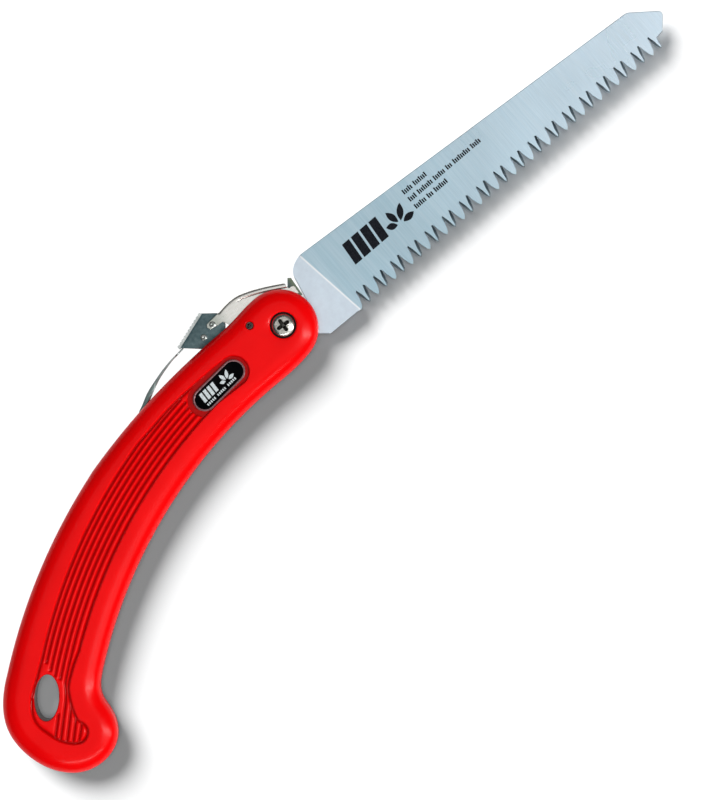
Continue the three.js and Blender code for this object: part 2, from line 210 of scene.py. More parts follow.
def spline(points, step=0.8):
    """Smooth Catmull-Rom curve through the points."""
    p = np.array(points, float)
    run = np.vstack([2 * p[0] - p[1], p, 2 * p[-1] - p[-2]])
    out = []
    for i in range(1, len(run) - 2):
        a, b, c, d = run[i - 1:i + 3]
        count = max(2, int(np.linalg.norm(c - b) / step) + 1)
        t = np.linspace(0, 1, count, endpoint=False)[:, None]
        out.append(0.5 * ((2 * b) + (c - a) * t + (2 * a - 5 * b + 4 * c - d) * t ** 2
                          + (3 * b - a - 3 * c + d) * t ** 3))
    out.append(p[-1:])
    return np.concatenate(out)


def circle_loop(x, y, radius, count=None):
    count = count or max(24, int(2 * math.pi * radius / 0.5))
    angle = np.arange(count) * 2 * math.pi / count
    return np.column_stack([x + radius * np.cos(angle), y + radius * np.sin(angle)])


def ellipse_loop(shape, extra=0.0):
    """Loop round an ellipse, or round one that is larger by a margin."""
    count = 84
    angle = np.arange(count) * 2 * math.pi / count
    x = (shape["long"] + extra) * np.cos(angle)
    y = (shape["short"] + extra) * np.sin(angle)
    c, s = math.cos(shape["turn"]), math.sin(shape["turn"])
    return np.column_stack([x * c - y * s, x * s + y * c]) + shape["centre"]


def obround_loop(length, width):
    """Loop with round ends, lying as the badge does."""
    reach = (length - width) / 2
    steps_round_an_end = 28
    step = width * math.pi / 2 / steps_round_an_end
    ends = [arc((sign * reach, 0, width / 2), start, start + math.pi, step)
            for sign, start in ((1, -math.pi / 2), (-1, math.pi / 2))]
    return placed(resample(chain(*ends), 0.7, closed=True), BADGE["turn"], BADGE["centre"])


def handle_outline():
    return resample(chain(
        bezier((HEAD[0], HEAD[2]), (-9, HEAD[2]), (-16, 14.7), (-24, 14.2)),
        arc(BACK_FRONT, angle_at(BACK_FRONT, -28), angle_at(BACK_FRONT, -108)),
        arc(BACK_REAR, angle_at(BACK_REAR, -112), angle_at(BACK_REAR, -193)),
        bezier((-195, -53.6), (-202.5, -60.2), (-208.3, -68.1), (-208.3, -78)),
        bezier((-208.3, -78), (-208.3, -93), (-198.7, -109.3), (-183, -109.3)),
        bezier((-183, -109.3), (-172.9, -109.3), (-164.8, -102.5), (-164.8, -90)),
        bezier((-164.8, -90), (-164.8, -83.2), (-162.8, -80.8), (-158.5, -76.8)),
        arc(BELLY, angle_at(BELLY, -157), angle_at(BELLY, -18)),
        bezier((-16, -19.3), (-9.5, -19), (-3.1, -18.3), (2.7, -16.7)),
        arc(HEAD, math.radians(-73), math.radians(90), 0.5),
    ), 0.9, closed=True)


# ---- distances and tests --------------------------------------------------------------------
def distance(points, line, closed=True):
    """Distance from each point to a polyline."""
    a = line if closed else line[:-1]
    b = np.roll(line, -1, 0) if closed else line[1:]
    d = b - a
    size = (d ** 2).sum(1)
    best = np.full(len(points), 1e9)
    for start in range(0, len(points), 2000):
        p = points[start:start + 2000, None]
        t = np.clip(((p - a) * d).sum(2) / size, 0, 1)
        gap = np.linalg.norm(p - (a + t[..., None] * d), axis=2)
        best[start:start + 2000] = gap.min(1)
    return best


def inside(points, loop):
    x, y = points[:, 0], points[:, 1]
    result = np.zeros(len(points), bool)
    for (x0, y0), (x1, y1) in zip(loop, np.roll(loop, -1, 0)):
        crosses = (y0 > y) != (y1 > y)
        if crosses.any():
            result ^= crosses & (x < (x1 - x0) * (y - y0) / (y1 - y0 + 1e-30) + x0)
    return result


def smoothstep(t):
    t = np.clip(t, 0, 1)
    return t * t * (3 - 2 * t)


def with_crossings(loop, lines):
    """The loop with a vertex added wherever one of the lines crosses it."""
    out = []
    for a, b in zip(loop, np.roll(loop, -1, 0)):
        hits = []
        for line in lines:
            for c, d in zip(line, np.roll(line, -1, 0)):
                r, s = b - a, d - c
                cross = r[0] * s[1] - r[1] * s[0]
                if abs(cross) < 1e-12:
                    continue
                t = ((c - a)[0] * s[1] - (c - a)[1] * s[0]) / cross
                u = ((c - a)[0] * r[1] - (c - a)[1] * r[0]) / cross
                if 0 < t < 1 and 0 <= u <= 1:
                    hits.append(t)
        out.append(a)
        out.extend(a + (b - a) * t for t in sorted(hits))
    return np.array(out)


# ---- meshes ---------------------------------------------------------------------------------
def to_frame(points):
    """Drawing millimetres to the model's frame, in metres."""
    return np.asarray(points, float) * MM + PIVOT


def triangulate(loops, lines=()):
    """Constrained triangulation of the area inside loops[0] and outside the other loops.

    Returns the points, the triangles, and for each loop the numbers of its points.
    """
    points, edges, rims = [], [], []
    for loop in loops:
        first = len(points)
        points.extend(loop)
        rims.append(range(first, len(points)))
        edges.extend((first + i, first + (i + 1) % len(loop)) for i in range(len(loop)))
    for line in lines:
        first = len(points)
        points.extend(line)
        edges.extend((first + i, first + i + 1) for i in range(len(line) - 1))
    done = delaunay_2d_cdt([Vector((float(x), float(y))) for x, y in points], edges, [], 0, 1e-3)
    flat = np.array([tuple(v) for v in done[0]])
    triangles = np.array([f for f in done[2]], int)
    place = {source: number for number, sources in enumerate(done[3]) for source in sources}
    centre = flat[triangles].mean(1)
    keep = inside(centre, loops[0])
    for hole in loops[1:]:
        keep &= ~inside(centre, hole)
    return flat, triangles[keep], [[place[i] for i in rim] for rim in rims]


def new_object(name, solids, body, materials, smooth_angle=35):
    """One object from (points in drawing millimetres, faces) pairs.

    It rides on a body unless that is None.
    """
    vertices, faces = [], []
    for points, around in solids:
        first = len(vertices)
        vertices.extend(to_frame(points))
        faces.extend(tuple(int(i) + first for i in face) for face in around)
    mesh = bpy.data.meshes.new(name)
    mesh.from_pydata([tuple(v) for v in vertices], [], faces)
    tidy = bmesh.new()
    tidy.from_mesh(mesh)
    bmesh.ops.remove_doubles(tidy, verts=tidy.verts, dist=2e-7)
    bmesh.ops.dissolve_degenerate(tidy, edges=tidy.edges, dist=1e-7)
    bmesh.ops.recalc_face_normals(tidy, faces=tidy.faces)
    loose = [v for v in tidy.verts if not v.link_faces]
    bmesh.ops.delete(tidy, geom=loose, context="VERTS")
    tidy.to_mesh(mesh)
    tidy.free()
    mesh.shade_smooth()
    mesh.set_sharp_from_angle(angle=math.radians(smooth_angle))
    thing = bpy.data.objects.new(name, mesh)
    bpy.context.scene.collection.objects.link(thing)
    for material in materials:
        mesh.materials.append(material)
    if body:
        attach(thing, body)
    return thing


def drawing_points(thing):
    """The object's vertices in drawing millimetres."""
    return (np.array([v.co for v in thing.data.vertices]) - PIVOT) / MM


def face_centres(thing):
    """The middles of the object's faces in drawing millimetres."""
    return (np.array([face.center for face in thing.data.polygons]) - PIVOT) / MM


def paint(thing, name, values):
    """Stores a number for each vertex, which a finish reads by that name."""
    layer = thing.data.attributes.new(name, "FLOAT", "POINT")
    layer.data.foreach_set("value", np.asarray(values, np.float32))


def swept_faces(steps, count):
    """Faces of a section of count points swept through a number of steps, with its ends closed."""
    faces = []
    for i in range(steps - 1):
        for k in range(count):
            here, beyond = i * count, (i + 1) * count
            after = (k + 1) % count
            faces.append((here + k, here + after, beyond + after, beyond + k))
    return faces + [tuple(range(count)), tuple(range((steps - 1) * count, steps * count))]


# ---- shells of the grip ---------------------------------------------------------------------
TRAY_DEPTH = 1.15               # the sunk panel's floor, below the face
RIB_TOP = 0.3                   # the ribs' crests, below the face
RIM_GROOVE = 0.95               # the groove that runs round the panel, in from its wall
GROOVE_REACH = 1.12             # how far a groove's sides reach from its middle line
HOLE_FLARE = 1.3                # rounding of the hang hole's edge
RING_ANGLES = np.radians(np.arange(0, 91, 7.5))


def belly_arc(radius, x_start, x_end):
    """Part of a circle round the centre of the grip's concave side."""
    circle = (BELLY[0], BELLY[1], radius)
    return arc(circle, angle_at(circle, x_start), angle_at(circle, x_end), 1.2)


def tray_outline():
    """Sunk panel: round the badge, along the grip, past the hang hole and into the hook."""
    turn = BADGE["turn"]
    cap = (BADGE["centre"][0] + 9 * math.cos(turn), BADGE["centre"][1] + 9 * math.sin(turn), 7.3)
    front = arc(cap, turn - math.pi / 2, turn + math.pi / 2, 0.8)
    butt = spline([(-182.5, -59.8), (-190.4, -66.3), (-194.8, -72.6), (-195.9, -78.3), (-194.5, -84),
                   (-192.3, -89.4), (-188.8, -94), (-184.2, -96.9), (-180, -96.3), (-177.3, -93.2),
                   (-177.4, -89.6), (-178.4, -87), (-177.7, -83.6), (-176.1, -78.8), (-173.4, -73.7),
                   (-169.4, -69.9), (-164.8, -66.4)], 0.9)
    back = spline([front[-1], *belly_arc(258.4, -44, -52)[:1], *belly_arc(260, -62, -63)[:1],
                   *belly_arc(261.3, -84, -85)[:1]], 1.2)
    return resample(chain(front, back, belly_arc(261.3, -86, -176), butt, belly_arc(244.3, -160, -44)), 1.1,
                    closed=True)


def groove_lines():
    """Middle lines of the grooves between the ribs."""
    long_ones = [belly_arc(radius, front, rear) for radius, front, rear in
                 ((250.6, -53, -174.6), (253.1, -54.5, -175.6), (255.6, -56, -175.8), (258.1, -57, -175.2))]
    run = belly_arc(248.1, -52, -174)
    past_hole = spline([run[-1], (-175.9, -73.6), (-178.7, -77.3), (-183.4, -82.2), (-188.3, -87.3),
                        (-191, -90)])
    fan = [np.array(ends, float) for ends in
           (((-184.7, -80.1), (-192.4, -87.9)), ((-177.1, -79.6), (-189.1, -92.3)),
            ((-178, -84.6), (-187, -94.1)), ((-178.6, -89.4), (-184.6, -95.3)))]
    return [resample(line, 1.2) for line in (*long_ones, chain(run, past_hole, closed=False), *fan)]


def beside(line, offset):
    along = np.gradient(line, axis=0)
    along /= np.linalg.norm(along, axis=1)[:, None]
    return line + np.column_stack([-along[:, 1], along[:, 0]]) * offset


def around(line, gap):
    """Loop at a distance round an open line, with round ends."""
    ends = []
    for end, before in ((line[-1], line[-2]), (line[0], line[1])):
        heading = math.atan2(*(end - before)[::-1])
        ends.append(arc((*end, gap), heading + math.pi / 2, heading - math.pi / 2, 0.35))
    return chain(beside(line, gap), ends[0], beside(line, -gap)[::-1], ends[1])


def clear_of(lines, loops):
    """Pieces of the lines that lie outside all of the loops."""
    pieces = []
    for line in lines:
        keep = np.ones(len(line), bool)
        for loop in loops:
            keep &= ~inside(line, loop)
        cuts = np.flatnonzero(np.diff(keep.astype(int))) + 1
        pieces.extend(run for run, kept in zip(np.split(line, cuts), np.split(keep, cuts))
                      if kept[0] and len(run) > 1)
    return pieces


def closed_line(loop):
    return np.vstack([loop, loop[:1]])


def insets(loop, gaps):
    """Closed lines at distances in from a loop; a negative distance lies outside it."""
    return [closed_line(grow(loop, -gap)) for gap in gaps]


def quarter_round(gap, reach):
    """Share of a rounded edge's drop at a distance in from the edge."""
    t = np.clip(gap / reach, 0, 1)
    return 1 - np.sqrt(1 - (1 - t) ** 2)


def shell(side, name):
    """One moulded half of the grip; side is +1 for the right one and -1 for the left one."""
    pin = circle_loop(*LEVER_PIN, PIN_HOLE, 36)
    hang = ellipse_loop(HANG_HOLE)
    pivot = circle_loop(0, 0, BARREL_HOLE, 56)
    screws = [] if side > 0 else [circle_loop(x, y, SCREW_HOLE, 24) for x, y in GRIP_SCREWS]
    seats = [(0, 0, *(HEAD_BORE if side > 0 else NUT_BORE))]
    seats += [] if side > 0 else [(x, y, *SCREW_SEAT) for x, y in GRIP_SCREWS]
    holes = [pivot, pin, hang, *screws]

    outline = handle_outline()
    steps = {"slot": (slot_outline(), SLOT_HALF), "pocket": (pocket_outline(), POCKET_HALF)}
    step_lines = [grow(loop, gap) for loop, _ in steps.values() for gap in (0, 0.05)]
    outline = with_crossings(outline, step_lines)

    tray = tray_outline()
    badge = obround_loop(33.4, 14.8)
    ribs_start = obround_loop(34.2, 15.6)
    grooves = groove_lines()

    lines = insets(outline, [EDGE_REACH * (1 - math.cos(a)) for a in RING_ANGLES[1:]])
    lines += insets(tray, (-0.45, -0.12, 0.12, 0.4, 0.65, 0.95, 1.35, 1.7, 2.05))
    for groove in grooves:
        lines.extend(clear_of([groove, *(closed_line(around(groove, gap)) for gap in (0.35, 0.75, 1.1))],
                              [badge, hang]))
    lines = [part for line in lines for part in clear_of([line], [grow(hang, HOLE_FLARE + 0.2)])]
    lines += [closed_line(loop) for loop in (badge, ribs_start)]
    lines += [closed_line(grow(hang, HOLE_FLARE * k)) for k in (0.1, 0.3, 0.6, 1, 1.12)]
    lines += [closed_line(grow(pin, 0.35))]
    for x, y, radius, _ in seats:
        lines += [closed_line(circle_loop(x, y, radius + gap)) for gap in (-0.03, 0.03, 0.15, 0.3, 0.5)]

    def face(points):
        z = HALF - EDGE_DROP * quarter_round(distance(points, outline), EDGE_REACH)
        to_wall = distance(points, tray)
        in_tray = inside(points, tray)
        to_groove = np.abs(to_wall - RIM_GROOVE)
        for groove in grooves:
            to_groove = np.minimum(to_groove, distance(points, groove, closed=False))
        ribs = RIB_TOP + (TRAY_DEPTH - RIB_TOP) * (1 - smoothstep(to_groove / GROOVE_REACH))
        ribs[inside(points, grow(badge, 0.2))] = TRAY_DEPTH
        wall = TRAY_DEPTH * smoothstep((to_wall + 0.12) / 0.75)
        lip = TRAY_DEPTH * smoothstep((0.12 - to_wall) / 0.75)
        z -= np.where(in_tray, np.minimum(wall, ribs), lip)
        flare = np.clip(1 - distance(points, hang) / HOLE_FLARE, 0, 1)
        z = np.minimum(z, HALF - HOLE_FLARE * (1 - np.sqrt(1 - flare ** 2)))
        z -= 0.3 * np.clip(1 - distance(points, pin) / 0.35, 0, 1)
        for x, y, radius, drop in seats:
            reach = np.hypot(points[:, 0] - x, points[:, 1] - y) - radius
            z -= 0.35 * (1 - smoothstep(reach / 0.5))
            z[reach < 0] = HALF - drop
        return z * side

    def inner(points):
        z = PARTING + np.clip(PARTING_CHAMFER - distance(points, outline), 0, PARTING_CHAMFER)
        for loop, half in steps.values():
            z = np.where(inside(points, grow(loop, 0.025)), np.maximum(z, half), z)
        return z * side

    joint = closed_line(grow(outline, -PARTING_CHAMFER))
    solid = slab([outline, *holes], face, inner, lines, [joint, *(closed_line(loop) for loop in step_lines)])
    grip = new_object(name, [solid], "handle", [red_plastic])
    shade_recesses(grip, seats)
    return grip


def slot_outline():
    """Room that the blade needs between open and folded."""
    c, s = math.cos(FOLD), math.sin(FOLD)
    front, rear = (np.array([x * c - y * s, x * s + y * c]) for x, y in (FIRST_TIP, LAST_TIP))
    along = unit(rear - front)
    away = -left_of(along) * FOLD_CLEARANCE
    first, last = front + away, rear + away + along * TIP_CLEARANCE
    return np.array([first, last, (-198.4, -100.9), (-192.3, -112), (-150, -130), (0, -60), (40, -60),
                     (40, 40), (first[0], 40)])


def pocket_outline():
    """Room for the lever and its spring, open towards the palm."""
    return chain([(20, 2.2), (9, 2.2)], arc((0, 0, 9.3), math.radians(14), math.radians(138)),
                 [(-9.5, 4.6), (-15.6, 4.6), (-22, 8.6), (-46, 8.4), (-70, 1.4), (-79, 1.2), (-79, 40),
                  (20, 40)])


def shade_recesses(grip, seats):
    """Marks painted shade: in the panel's grooves by their depth, and darker still in the seats and on the
    hang hole's wall.
    """
    local = drawing_points(grip)
    sunk = np.clip((HALF - np.abs(local[:, 2]) - RIB_TOP) / (TRAY_DEPTH - RIB_TOP), 0, 1)
    sunk[~inside(local[:, :2], tray_outline())] = 0
    paint(grip, "painted_recess_shade", sunk)
    painted_deep_shade = np.zeros(len(local))
    for x, y, radius, _ in seats:
        reach = np.hypot(local[:, 0] - x, local[:, 1] - y) - radius
        painted_deep_shade[(reach < 0.1) & (np.abs(local[:, 2]) < HALF - 0.5)] = 1
    painted_deep_shade[inside(local[:, :2], ellipse_loop(HANG_HOLE, 0.05))] = 0.85
    paint(grip, "painted_deep_shade", painted_deep_shade)


def slab(loops, top, bottom, top_lines=(), bottom_lines=()):
    """Solid between two heights, each a number or a function of the points, over an outline with holes."""
    vertices, faces, rims = [], [], []
    for lines, height in ((top_lines, top), (bottom_lines, bottom)):
        flat, triangles, rim = triangulate(loops, lines)
        first = len(vertices)
        heights = height(flat) if callable(height) else np.full(len(flat), height)
        vertices.extend((x, y, z) for (x, y), z in zip(flat, heights))
        faces.extend(tuple(triangle + first) for triangle in triangles)
        rims.append([[index + first for index in loop] for loop in rim])
    for upper, lower in zip(*rims):
        for i, (a, b) in enumerate(zip(upper, lower)):
            c, d = upper[(i + 1) % len(upper)], lower[(i + 1) % len(lower)]
            faces.append((a, c, d, b))
    return vertices, faces


# ---- blade ----------------------------------------------------------------------------------
TEETH = 36
TOOTH_DEPTH = 7.4
BLADE_BACK = 21.1
TANG_HALF = 0.7                 # the tang is left thicker than the ground part
GROUND_HALF = 0.6
TOOTH_LEAN = 0.43               # share of the pitch between a tip and the gullet on its handle side
# Half a tooth: share of the way out to the gullet, and share of the depth up to the tip.
TOOTH_EDGE = ((0.97, 0.0), (0.80, 0.4), (0.42, 0.82), (0.0, 1.0))
TOOTH_FLAT = ((0.72, -0.06), (0.34, 0.4), (0.17, 0.8), (0.0, 0.94))
EDGE_BREAK = 0.25               # chamfer along the plain edges
HEEL = (0, 0, 12.5)             # round heel: centre x, centre y, radius
BLADE_BORE = 4.15
GRIND_LINE = np.array([(24.1, 21.5), (32.0, -16.2)])
GRIND_ALONG = unit(GRIND_LINE[1] - GRIND_LINE[0])


def quadratic(a, b, c, count=8):
    a, b, c = (np.array(p, float) for p in (a, b, c))
    t = np.linspace(0, 1, count)[:, None]
    return (1 - t) ** 2 * a + 2 * (1 - t) * t * b + t ** 2 * c


def blade_rims():
    """Four rims with equal point counts, from the right face to the left one, and their heights.

    Plain edges are broken by a small chamfer. Each tooth has both flanks ground on one face only, on
    alternate faces from tooth to tooth.
    """
    pitch = (LAST_TIP - FIRST_TIP) / (TEETH - 1)
    inward = left_of(unit(pitch))
    notch = np.array([10.35, 2.4])
    c, s = math.cos(-FOLD), math.sin(-FOLD)
    notch = np.array([notch[0] * c - notch[1] * s, notch[0] * s + notch[1] * c])
    back = chain(
        [(10.5, 2.2), (15.1, 2.2), (15.85, 7.8)],
        quadratic((16.6, 13.5), (17.4, 19.2), (24.9, BLADE_BACK), 12),
        np.column_stack([np.linspace(30, 200, 60), np.full(60, BLADE_BACK)]),
        quadratic((206.5, BLADE_BACK), (208.2, 21), (209.5, 20), 5), [(214.5, 16.7)],
        quadratic((219.6, 13.3), (221.2, 12.1), (220.2, 10.4), 6), [(215.8, 4.7)], closed=False)
    front = chain([(15, -15.5), (11.3, -12.7)],
                  arc(HEEL, math.radians(308), math.radians(186.2)), [notch],
                  arc(HEEL, math.radians(166.6), math.radians(32.9)), closed=False)
    rims = [[], [], [], []]

    def add(points, heights):
        for rim, point, height in zip(rims, points, heights):
            rim.append((*point, height))

    plain_heights = (None, 0.4, -0.4, None)
    plain = chain(back, front, closed=True)
    inset = grow(plain, -EDGE_BREAK)
    for point, inner in zip(plain[:len(back)], inset[:len(back)]):
        add((inner, point, point, inner), plain_heights)

    def flanks(tip, right, left, shares):
        """Points down one flank of a tooth and up the other."""
        sides = [(right, out, up) for out, up in shares] + [(left, out, up) for out, up in shares[-2::-1]]
        points = []
        for gullet, out, up in sides:
            depth = (gullet - tip) @ inward
            across = gullet - tip - inward * depth
            points.append(tip + across * out + inward * depth * (1 - up))
        return points

    for i in range(TEETH - 1, -1, -1):
        tip = FIRST_TIP + pitch * i
        right = tip + pitch * (1 - TOOTH_LEAN) + inward * TOOTH_DEPTH
        left = tip - pitch * TOOTH_LEAN + inward * TOOTH_DEPTH
        if i == TEETH - 1:
            right = tip + pitch * 0.3 + inward * TOOTH_DEPTH * 0.66
        if i == 0:
            left = tip - pitch * TOOTH_LEAN + inward * 0.4
        edges, flats = (flanks(tip, right, left, shares) for shares in (TOOTH_EDGE, TOOTH_FLAT))
        for edge, flat in zip(edges, flats):
            if i % 2:
                add((flat, edge, edge, edge), (None, -0.5, -0.55, None))
            else:
                add((edge, edge, edge, flat), (None, 0.55, 0.5, None))
        if i:
            add((left, left, left, left), (None, 0.3, -0.3, None))
    for point, inner in zip(plain[len(back):], inset[len(back):]):
        add((inner, point, point, inner), plain_heights)
    return rims


def past_grind_line(points):
    """Distance past the grind line, towards the tip."""
    return (points - GRIND_LINE[0]) @ left_of(GRIND_ALONG)


def grind_height(points):
    """Half the thickness: full on the tang, less past the grind line."""
    return TANG_HALF - (TANG_HALF - GROUND_HALF) * smoothstep((past_grind_line(points) + 0.1) / 0.9)


def saw_blade():
    rims = blade_rims()
    hole = circle_loop(0, 0, BLADE_BORE, 48)
    start, end = GRIND_LINE
    span = np.linspace(0.5, np.linalg.norm(end - start) - 1.5, 24)[:, None]
    grind = [start + GRIND_ALONG * span + left_of(GRIND_ALONG) * gap
             for gap in (-0.25, -0.1, 0.12, 0.35, 0.58, 0.8, 0.95)]
    vertices, faces, loops, holes = [], [], [], []
    for level, rim in enumerate(rims):
        points = np.array([(x, y) for x, y, _ in rim])
        face_height = grind_height(points)
        sign = 1 if level < 2 else -1
        z = [sign * f if height is None else height for (_, _, height), f in zip(rim, face_height)]
        if level in (0, 3):
            flat, triangles, places = triangulate([points, hole], grind)
            first = len(vertices)
            vertices.extend((x, y, sign * f) for (x, y), f in zip(flat, grind_height(flat)))
            faces.extend(tuple(t + first) for t in triangles)
            loops.append([i + first for i in places[0]])
            holes.append([i + first for i in places[1]])
        else:
            loops.append(range(len(vertices), len(vertices) + len(points)))
            vertices.extend((x, y, h) for (x, y), h in zip(points, z))
    for upper, lower in (*zip(loops, loops[1:]), holes):
        for i, (p, q) in enumerate(zip(upper, lower)):
            j = (i + 1) % len(upper)
            faces.append((p, upper[j], lower[j], q))
    blade = new_object("saw_blade_ground", [(vertices, faces)], "blade",
                       [ground_steel, facet_shade_steel], 12)
    # Tilted tooth facets take a darker copy of the steel: painted shade for the darker reflection they show.
    inward = left_of(unit(LAST_TIP - FIRST_TIP))
    for flat, centre in zip(blade.data.polygons, face_centres(blade)):
        at = centre[:2] - FIRST_TIP
        slanted = 0.2 < abs(flat.normal.z) < 0.97
        if slanted and at @ inward < TOOTH_DEPTH + 0.6 and at[0] > -3:
            flat.material_index = 1
    past = past_grind_line(drawing_points(blade)[:, :2])
    paint(blade, "ground", smoothstep((past + 0.1) / 0.9))
    # Painted highlight along the grind line, read by the blade's finish.
    paint(blade, "painted_grind_highlight", 0.85 * np.clip(1 - np.abs(past - 0.35) / 0.6, 0, 1))
    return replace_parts(blade, "saw_blade")


def mark(name, loops, low, high, body, material):
    """Thin printed mark on a face."""
    return new_object(name, [slab([loop], high, low) for loop in loops], body, [material])


def slanted_bar(x, y, length, height, lean=0.0):
    shift, top = lean * height, y + height
    return np.array([(x, y), (x + length, y), (x + length + shift, top), (x + shift, top)])


def leaf(x, y, length, width, turn):
    """Pointed leaf whose stalk end is at x, y."""
    t = np.linspace(0, 1, 12)
    side = width / 2 * np.sin(math.pi * t) ** 0.9
    run = np.concatenate([np.column_stack([t * length, side]),
                          np.column_stack([t * length, -side])[::-1][1:-1]])
    return placed(run, turn, (x, y))


def sprig(x, y, size):
    """Small sprig of leaves, used as a plain ornament."""
    leaves = []
    for degrees, reach in ((5, 0.5), (55, 0.62), (105, 0.55), (155, 0.42)):
        turn = math.radians(degrees)
        stalk_x, stalk_y = x + size * 0.12 * math.cos(turn), y + size * 0.12 * math.sin(turn)
        leaves.append(leaf(stalk_x, stalk_y, size * reach, size * 0.24, turn))
    return leaves


MARK_PLACE = (42.4, 2.6)
MARK_TURN = math.radians(4)
DASH_WORDS = ((5, 7), (4, 8, 6, 3, 9, 5), (6, 3, 7))        # dashes in each word, row by row
DASH_STEP = 1.05


def blade_marks():
    """Generic bars, a sprig and rows of dashes, all turned a little against the back edge."""
    bars = [slanted_bar(5.2 * k, 0, 4.1, 10.8, 0.1) for k in range(4)]
    dashes = []
    for row, words in enumerate(DASH_WORDS):
        x = 37.2
        for word in words:
            for dash in range(word):
                dashes.append(slanted_bar(x, 9.6 - 4.2 * row, 0.72, 1.9 + 0.5 * (dash % 3 == 0)))
                x += DASH_STEP
            x += DASH_STEP
    shapes = [placed(loop, MARK_TURN, MARK_PLACE) for loop in (*bars, *sprig(27.5, 0.6, 13), *dashes)]
    for side, label in ((1, "right"), (-1, "left")):
        low, high = sorted((side * (GROUND_HALF - 0.01), side * (GROUND_HALF + 0.03)))
        mark(f"{label}_blade_print", shapes, low, high, "blade", blade_ink)


# ---- badge ----------------------------------------------------------------------------------
def badge(side, label):
    rim = obround_loop(BADGE["length"], BADGE["width"])
    floor = HALF - BADGE_RECESS["depth"] + 0.05
    top = floor + 0.95

    def face(points):
        gap = distance(points, rim)
        rounded = 0.3 * (1 - smoothstep(gap / 0.35))
        dish = 0.28 * smoothstep((gap - 0.75) / 0.25)
        return side * (top - rounded - dish)

    lines = insets(rim, (0.08, 0.18, 0.35, 0.7, 0.82, 0.92, 1.02))
    plate = new_object(f"{label}_badge_plate", [slab([rim], face, side * floor, lines)], "handle",
                       [badge_black, badge_rim])
    on_rim = distance(face_centres(plate)[:, :2], rim) < 0.8
    plate.data.polygons.foreach_set("material_index", on_rim.astype(np.int32))
    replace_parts(plate, f"{label}_badge")
    shapes = [slanted_bar(-10 + 2.3 * k, -1.3, 1.6, 4.6, 0.12) for k in range(4)] + sprig(4.2, -1.1, 6.8)
    shapes += [slanted_bar(-9.8 + 1.05 * k, -3.3, 0.65, 1.1) for k in range(17) if k % 6 != 5]
    shapes = [placed(loop, BADGE["turn"], BADGE["centre"]) for loop in shapes]
    low, high = sorted((side * (top - 0.29), side * (top - 0.24)))
    mark(f"{label}_badge_print", shapes, low, high, "handle", badge_silver)


# ---- pivot screw and pin --------------------------------------------------------------------
def pivot_screw():
    radius, under, crown = 5.1, 7.6, 10.15
    rim = circle_loop(0, 0, radius, 96)
    arm_half, arm_reach, recess = 0.75, 3.3, 1.9

    def face(points):
        reach = np.hypot(points[:, 0], points[:, 1])
        z = crown - 1.0 * (reach / radius) ** 4
        short, long = np.sort(np.abs(points), axis=1).T
        into = np.minimum(arm_half + 0.12 - short, (arm_reach - long) * 0.55)
        z -= recess * np.clip(into / 0.55, 0, 1)
        return z - 0.9 * np.clip(1 - reach / 1.3, 0, 1)

    cross = []
    for half, reach in ((arm_half + 0.12, arm_reach), (arm_half - 0.43, arm_reach - 1.0)):
        corners = [(half, half), (half, reach), (-half, reach), (-half, half), (-reach, half),
                   (-reach, -half), (-half, -half), (-half, -reach), (half, -reach), (half, -half),
                   (reach, -half), (reach, half)]
        cross.append(closed_line(resample(np.array(corners, float), 0.3, closed=True)))
    rings = [closed_line(circle_loop(0, 0, r, 96)) for r in np.linspace(3.5, radius - 0.06, 9)]
    shank = turned([(0, -6), (2.2, -6), (2.45, -5.7), (2.45, under + 0.2), (0, under + 0.2)], 0, 0)
    screw = new_object("pivot_screw_cross", [slab([rim], face, under, [*cross, *rings]), shank], "handle",
                       [head_nickel])
    # The cross recess is marked so that the head's finish can paint shade into it.
    local = drawing_points(screw)
    short, long = np.sort(np.abs(local[:, :2]), axis=1).T
    sunk = (long < arm_reach - 0.6) & (short < arm_half - 0.3) & (local[:, 2] > under)
    paint(screw, "painted_recess_shade", sunk)
    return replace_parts(screw, "pivot_screw")


def turned(profile, x, y, sides=64):
    """Solid of revolution about Z.

    The profile lists (radius, height) pairs and starts and ends on the axis.
    """
    angle = np.arange(sides) * 2 * math.pi / sides
    vertices = [(x, y, profile[0][1]), (x, y, profile[-1][1])]
    faces, last = [], None
    for radius, height in profile[1:-1]:
        ring = range(len(vertices), len(vertices) + sides)
        vertices.extend((x + radius * math.cos(a), y + radius * math.sin(a), height) for a in angle)
        for i in range(sides):
            j = (i + 1) % sides
            faces.append((0, ring[j], ring[i]) if last is None else (last[i], last[j], ring[j], ring[i]))
        last = ring
    faces.extend((1, last[i], last[(i + 1) % sides]) for i in range(sides))
    return vertices, faces


def roll_pin():
    """Coiled tube pin with chamfered ends and a slit along it."""
    x, y = LEVER_PIN
    outer, inner, reach = 1.75, 0.95, 9.7
    slit = math.radians(14)
    angle = np.linspace(slit, 2 * math.pi - slit, 60) + math.radians(200)
    profile = [(inner, -reach + 0.15), (inner + 0.15, -reach), (outer - 0.35, -reach), (outer, -reach + 0.6),
               (outer, reach - 0.6), (outer - 0.35, reach), (inner + 0.15, reach), (inner, reach - 0.15)]
    vertices = [(x + r * math.cos(a), y + r * math.sin(a), z) for a in angle for r, z in profile]
    solid = (vertices, swept_faces(len(angle), len(profile)))
    pin = new_object("lever_roll_pin", [solid], "handle", [dark_steel], 30)
    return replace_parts(pin, "lever_pin")


